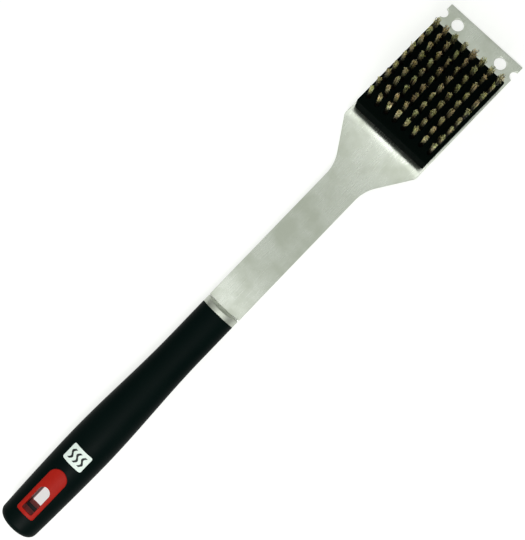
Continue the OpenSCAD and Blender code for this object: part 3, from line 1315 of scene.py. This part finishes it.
    def build_print(self) -> None:
        """Prints a plain white panel with three heat waves on the upper shell."""
        mid_x, long_x, long_y, corner = 64.3, 12.4, 15.6, 1.2
        pitch, swing, half, margin = 4.2, 0.9, 0.85, 2.4
        x0, x1, y1 = mid_x - long_x / 2, mid_x + long_x / 2, long_y / 2
        panel = rounded((x0, -y1), (x1, y1), corner)
        place(self.film(panel, 0.06), "print_panel", self.datum.on_axis(), WHITE_INK, Slot.INK,
              weighted=False)
        waves = []
        for middle in (-pitch, 0.0, pitch):
            centre = [(x, middle + swing * math.sin((x - x0) / long_x * 4 * math.pi))
                      for x in evenly(x0 + margin, x1 - margin, 22)]
            waves.append(self.film(
                [(x, y - half) for x, y in centre] + [(x, y + half) for x, y in reversed(centre)],
                0.1))
        place(join(waves), "print_heat_waves", self.datum.on_axis(), BLACK_INK, Slot.GRIP,
              weighted=False)


@dataclass(frozen=True)
class Ferrule:
    """The buffed cap between the grip and the blade."""

    datum: Datum
    grip: Grip
    width: float = 25.9
    sheet: float = 0.6
    band: float = 4.8
    dome: float = 0.7
    lip: float = 0.2
    gap: float = 0.02
    crown_lean: float = 1.8  # how far the top and the bottom of the crown lean back
    corner: float = 0.7
    steps: int = 96

    def outline(self) -> Loop:
        """Draws the cap's closed section.

        Returns:
            (distance, radius) points, outside and then inside.
        """
        start, r = self.grip.length, self.width / 2
        middle = (start + self.band - 0.2, r - self.corner)
        front = start + self.band + self.dome
        face_x = middle[0] + self.corner
        outside = (
            [(start + self.gap, r - self.lip), (start + self.lip, r)]
            + [(x, r) for x in evenly(start + 0.5, middle[0] - 0.3, 4)]
            + arc(middle, self.corner, 90, 0, 7)
            + [(face_x + (front - face_x) * (1 - (i / 10) ** 2), middle[1] * i / 10)
               for i in range(9, -1, -1)]
        )
        inside_r = self.corner - self.sheet
        inside = (
            [(front - self.sheet, 0.0), (face_x - self.sheet, middle[1])]
            + arc(middle, inside_r, 0, 90, 4)[1:]
            + [(start + self.gap, r - self.sheet)]
        )
        return outside + inside

    def build(self) -> None:
        """Turns the cap, squeezes it oval and cuts its slit for the tang."""
        turns = [2 * math.pi * i / self.steps for i in range(self.steps)]
        rings = []
        for x, r in self.outline():
            forward = (x - self.grip.length) / (self.band + self.dome)
            height = r / (self.width / 2)
            rings.append([
                Vector((x - self.crown_lean * forward * (height * math.sin(t)) ** 2,
                        r * math.cos(t), self.grip.oval * r * math.sin(t)))
                for t in turns
            ])
        x0, y, z = self.grip.length + 1.0, self.grip.channel_y, self.grip.channel_z
        slit = prism(rectangle((x0, -y), (x0 + 10, y)), -z, z)
        bm = carve(skin(rings, closed=True), [slit])
        place(bm, "ferrule_cap", self.datum.on_axis(), CAP, Slot.FERRULE, ("ferrule",))


@dataclass(frozen=True)
class Head:
    """The bristle block on the head plate, with its tufts and screws."""

    datum: Datum
    width: float = 61.2
    length: float = 75.8
    height: float = 12.4
    corner: float = 1.2
    edge: float = 0.6
    pitch: float = 7.7
    rows: int = 9
    tufts: int = 8
    hole_r: float = 1.6
    hole_depth: float = 8.0
    tuft_h: float = 19.8
    foot_r: float = 1.15
    wires: int = 24
    wire_r: float = 0.2  # real wire is thinner, drawn coarser so that it shows
    wire_steps: int = 16
    crimp: float = 0.42
    crimp_length: float = 4.8
    wire_depth: float = 2.5  # how far the wires reach into their holes
    bow: float = 1.35  # above 1, the wires bend outward towards their tips
    lean_x: Point = (-0.3, 0.4)
    lean_y: Point = (-0.35, 0.25)
    fan: Point = (0.85, 1.15)  # width of a tuft at its tips over that at its foot
    front_fan: Point = (1.5, 2.0)  # the front row is splayed by use
    stray: float = 0.6
    tip_scatter: float = 0.3
    cut_crown: float = 1.2
    cut_scatter: float = 1.1
    pilot_r: float = 1.62
    screw_gaps: tuple[int, int] = (1, 6)  # gaps between rows that hold the screws
    seed: int = 27

    @property
    def first_row(self) -> float:
        """Distance of the first row of tufts from the block's rear."""
        return (self.length - (self.rows - 1) * self.pitch) / 2

    def screw_places(self) -> list[Point]:
        """Places of the block's screws on the plate."""
        return [
            (self.first_row + (gap + 0.5) * self.pitch, side * 2 * self.pitch)
            for gap in self.screw_gaps
            for side in (-1, 1)
        ]

    def tuft_places(self, row: int) -> list[Point]:
        """Places of one row's tufts, the row counted from 1 at the grip's side."""
        x = self.first_row + (row - 1) * self.pitch
        return [(x, (i - (self.tufts - 1) / 2) * self.pitch) for i in range(self.tufts)]

    def build(self) -> None:
        """Builds the block, its screws and its rows of tufts."""
        self.build_block()
        self.build_screws()
        for row in range(1, self.rows + 1):
            self.build_row(row)

    def build_block(self) -> None:
        """Builds the moulded block with a blind hole for each tuft."""
        half = self.width / 2
        body = prism(rounded((0.0, -half), (self.length, half), self.corner), 0.0, self.height)
        top = [e for e in body.edges if all(v.co.z > self.height / 2 for v in e.verts)]
        bmesh.ops.bevel(body, geom=top, offset=self.edge, segments=3, profile=0.5,
                        affect="EDGES", clamp_overlap=False)
        floor = self.height - self.hole_depth
        holes = join(
            prism(circle(at, self.hole_r, 20), floor, self.height + 1)
            for row in range(1, self.rows + 1) for at in self.tuft_places(row)
        )
        pilots = join(prism(circle(at, self.pilot_r, 16), -1.0, 9.0) for at in self.screw_places())
        bm = carve(body, [holes, pilots])
        place(bm, "bristle_block_moulding", self.datum.on_head(), BLACK_PP, Slot.BLOCK,
              ("bristle_block",))

    def build_screws(self) -> None:
        """Builds the four pan-head screws that hold the block from below."""
        made = []
        sheet = Blade.sheet
        # (height, radius) under the block: the point, the shank, and the rounded pan head
        outline = [(7.0, 0.0), (6.2, 1.0), (5.8, 1.6), (0.0, 1.6), (-0.02, 3.0), (-0.25, 3.2),
                   (-0.8, 3.15), (-1.3, 2.75), (-1.7, 1.9), (-1.9, 0.0)]
        for x, y in self.screw_places():
            rings = [
                [Vector((x + r * math.cos(t), y + r * math.sin(t), z - sheet))
                 for t in (2 * math.pi * i / 32 for i in range(32))]
                for z, r in outline
            ]
            cross = [
                prism(rectangle((x - a, y - b), (x + a, y + b)), -sheet - 3.0, -sheet - 0.8)
                for a, b in ((1.7, 0.35), (0.35, 1.7))
            ]
            made.append(carve(skin(rings), cross))
        place(join(made), "block_screw_set", self.datum.on_head(), ZINC, Slot.FASTENER,
              ("block_screws",))

    def build_row(self, row: int) -> None:
        """Builds one row of tufts, each a bundle of crimped wires.

        Args:
            row: the row's number, from 1 at the grip's side.
        """
        rng = random.Random(self.seed * 100 + row)
        bm = bmesh.new()
        for at in self.tuft_places(row):
            self.add_tuft(bm, at, rng)
        place(bm, f"tuft_row_{row}_wires", self.datum.on_head(), BRASS, Slot.BRASS,
              (f"tuft_row_{row}",), weighted=False)

    def add_tuft(self, bm: bmesh.types.BMesh, at: Point, rng: random.Random) -> None:
        """Adds one tuft: wires packed at the foot and fanned at the tips.

        Args:
            bm: the row's mesh.
            at: the tuft's place on the block.
            rng: the row's source of chance.
        """
        middle = Vector((self.length / 2, 0.0))
        outward = Vector(at) - middle
        is_front = outward.x > self.length / 2 - self.pitch
        lean = Vector((rng.uniform(*self.lean_x), rng.uniform(*self.lean_y)))
        fan = rng.uniform(*(self.front_fan if is_front else self.fan))
        golden = math.pi * (3 - math.sqrt(5))
        spin = rng.uniform(0, 2 * math.pi)
        for i in range(self.wires):
            reach = math.sqrt((i + 0.5) / self.wires)
            turn = spin + i * golden
            foot = Vector((math.cos(turn), math.sin(turn))) * reach * self.foot_r
            stray = 1.0 + (rng.random() ** 7) * self.stray
            scatter = Vector((rng.gauss(0, self.tip_scatter), rng.gauss(0, self.tip_scatter)))
            tip = foot * fan * stray + lean + scatter
            top = self.tuft_h - self.cut_crown * reach**2 - abs(rng.gauss(0, self.cut_scatter))
            self.add_wire(bm, Vector(at) + foot, Vector(at) + tip, top, rng)

    def add_wire(
        self, bm: bmesh.types.BMesh, foot: Vector, tip: Vector, top: float, rng: random.Random
    ) -> None:
        """Adds one crimped wire, from inside its hole to its cut end.

        Args:
            bm: the row's mesh.
            foot: its place at the block's face.
            tip: its place at the top.
            top: its height above the block's face.
            rng: the row's source of chance.
        """
        phase, plane = rng.uniform(0, 2 * math.pi), rng.uniform(0, math.pi)
        sway = Vector((math.cos(plane), math.sin(plane)))
        rings = []
        for step in range(self.wire_steps + 1):
            share = step / self.wire_steps
            z = -self.wire_depth + (top + self.wire_depth) * share
            rise = max(z, 0.0) / top
            turn = phase + 2 * math.pi * z / self.crimp_length
            wave = self.crimp * min(1.0, rise * 4) * math.sin(turn)
            centre = foot.lerp(tip, rise**self.bow) + sway * wave
            rings.append([
                bm.verts.new((centre.x + self.wire_r * math.cos(a + phase),
                              centre.y + self.wire_r * math.sin(a + phase), self.height + z))
                for a in (0.0, math.pi / 2, math.pi, 3 * math.pi / 2)
            ])
        for near, far in zip(rings, rings[1:]):
            for i in range(4):
                j = (i + 1) % 4
                bm.faces.new((near[i], near[j], far[j], far[i]))
        bm.faces.new(rings[0][::-1])
        bm.faces.new(rings[-1])


# ---- the table and the light -----------------------------------------------------------------


def aim(obj: bpy.types.Object, at: Sequence[float], to: Sequence[float], roll: float) -> None:
    """Points an object's -Z axis from one place to another.

    Args:
        obj: the light or the camera.
        at: its place, in metres.
        to: the place that it faces.
        roll: its turn about that line, in radians.
    """
    turn = (Vector(to) - Vector(at)).to_track_quat("-Z", "Y")
    obj.location = at
    obj.rotation_mode = "QUATERNION"
    obj.rotation_quaternion = turn @ Matrix.Rotation(roll, 4, "Z").to_quaternion()


@dataclass(frozen=True)
class Softbox:
    """A rectangular soft light, with its places and sizes in metres."""

    name: str
    at: Place
    to: Place
    size: Point
    radiance: float  # brightness of its face, where 1 is a fully lit white sheet

    def build(self) -> None:
        """Hangs the light and turns it to the place that it faces."""
        lamp = bpy.data.lights.new(self.name, "AREA")
        lamp.shape, (lamp.size, lamp.size_y) = "RECTANGLE", self.size
        lamp.energy = self.radiance * math.pi * self.size[0] * self.size[1]
        held = bpy.data.objects.new(self.name, lamp)
        bpy.context.scene.collection.objects.link(held)
        aim(held, self.at, self.to, 0.0)


@dataclass(frozen=True)
class Studio:
    """A pale lit table under a silk and three softboxes, seen from above."""

    table_size: float = 6.0
    table_gap: float = 0.05  # keeps the rounded insert clear of the table
    silk: str = "#F9FDF6"
    dome: float = 0.72  # brightness of the silk overhead
    horizon: float = 0.3  # and to the sides
    dome_rim: Point = (0.5, 0.88)  # sines of the angles up between which it brightens
    camera_at: Place = (5.46, -44.47, 562.72)
    camera_to: Place = (7.83, -1.1, 13.0)
    camera_roll: float = -43.0
    lens: float = 56.21
    lights: tuple[Softbox, ...] = (
        Softbox("neck_softbox", (-0.18, 0.04, 1.1), (-0.03, 0.0, 0.0), (0.6, 0.34), 0.75),
        Softbox("flare_softbox", (0.56, -0.03, 1.1), (0.12, 0.0, 0.0), (0.6, 0.2), 2.7),
        Softbox("key_softbox", (-0.8, -0.3, 1.05), (0.0, 0.0, 0.0), (0.45, 0.45), 19.0),
    )

    def build(self) -> None:
        """Builds the table, the lights and the camera."""
        self.build_table()
        self.build_sky()
        for light in self.lights:
            light.build()
        self.build_camera()

    def build_table(self) -> None:
        """Builds the table's top, a bright even sheet."""
        bm = bmesh.new()
        bmesh.ops.create_grid(bm, x_segments=4, y_segments=4, size=self.table_size / 2)
        table = as_object(bm, "table_top")
        table.location.z = CAD_BOX[0][2] - self.table_gap * MM
        table.data.materials.append(TABLE.material())

    def build_sky(self) -> None:
        """Hangs a feathered silk over the table, bright overhead and dimmer to the sides."""
        world = bpy.data.worlds.new("studio_silk")
        world.use_nodes = True
        tree = world.node_tree
        back = next(n for n in tree.nodes if n.type == "BACKGROUND")
        back.inputs["Color"].default_value = linear(self.silk)
        ray = add_node(tree, "ShaderNodeTexCoord").outputs["Generated"]
        rise = add_node(tree, "ShaderNodeSeparateXYZ", links={"Vector": ray}).outputs["Z"]
        glow = add_node(
            tree,
            "ShaderNodeMapRange",
            {"interpolation_type": "SMOOTHSTEP", "From Min": self.dome_rim[0],
             "From Max": self.dome_rim[1], "To Min": self.horizon, "To Max": self.dome},
            {"Value": rise},
        ).outputs["Result"]
        tree.links.new(glow, back.inputs["Strength"])
        bpy.context.scene.world = world
        bpy.context.scene.view_settings.view_transform = "Standard"

    def build_camera(self) -> None:
        """Adds the camera, looking down at the tool with its long axis across the corners."""
        eye = bpy.data.cameras.new("camera")
        eye.lens = self.lens
        eye.clip_start = 0.01
        held = bpy.data.objects.new("camera", eye)
        bpy.context.scene.collection.objects.link(held)
        at, to = (tuple(v * MM for v in spot) for spot in (self.camera_at, self.camera_to))
        aim(held, at, to, math.radians(self.camera_roll))
        bpy.context.scene.camera = held


def dress_hidden_fasteners() -> None:
    """Gives the fasteners inside the grip and the block their real finish."""
    for node in ("tang_screw", "tang_nut", "tuft_staples"):
        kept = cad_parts[node]
        for held in kept.material_slots:
            held.material = ZINC.material()
        log.info("%s: kept from CAD, %s", node, ZINC.name)


def main() -> None:
    """Builds the tool from the grip to the scraper, then the studio."""
    datum = Datum.from_cad(HEAD_TILT, Head.length)
    length = (CAD_BOX[1][0] - CAD_BOX[0][0]) / MM
    grip = Grip(datum)
    head = Head(datum)
    grip.build()
    Ferrule(datum, grip).build()
    Blade(datum, length).build(head.screw_places())
    head.build()
    dress_hidden_fasteners()
    Studio().build()


if __name__ == "__main__":
    main()
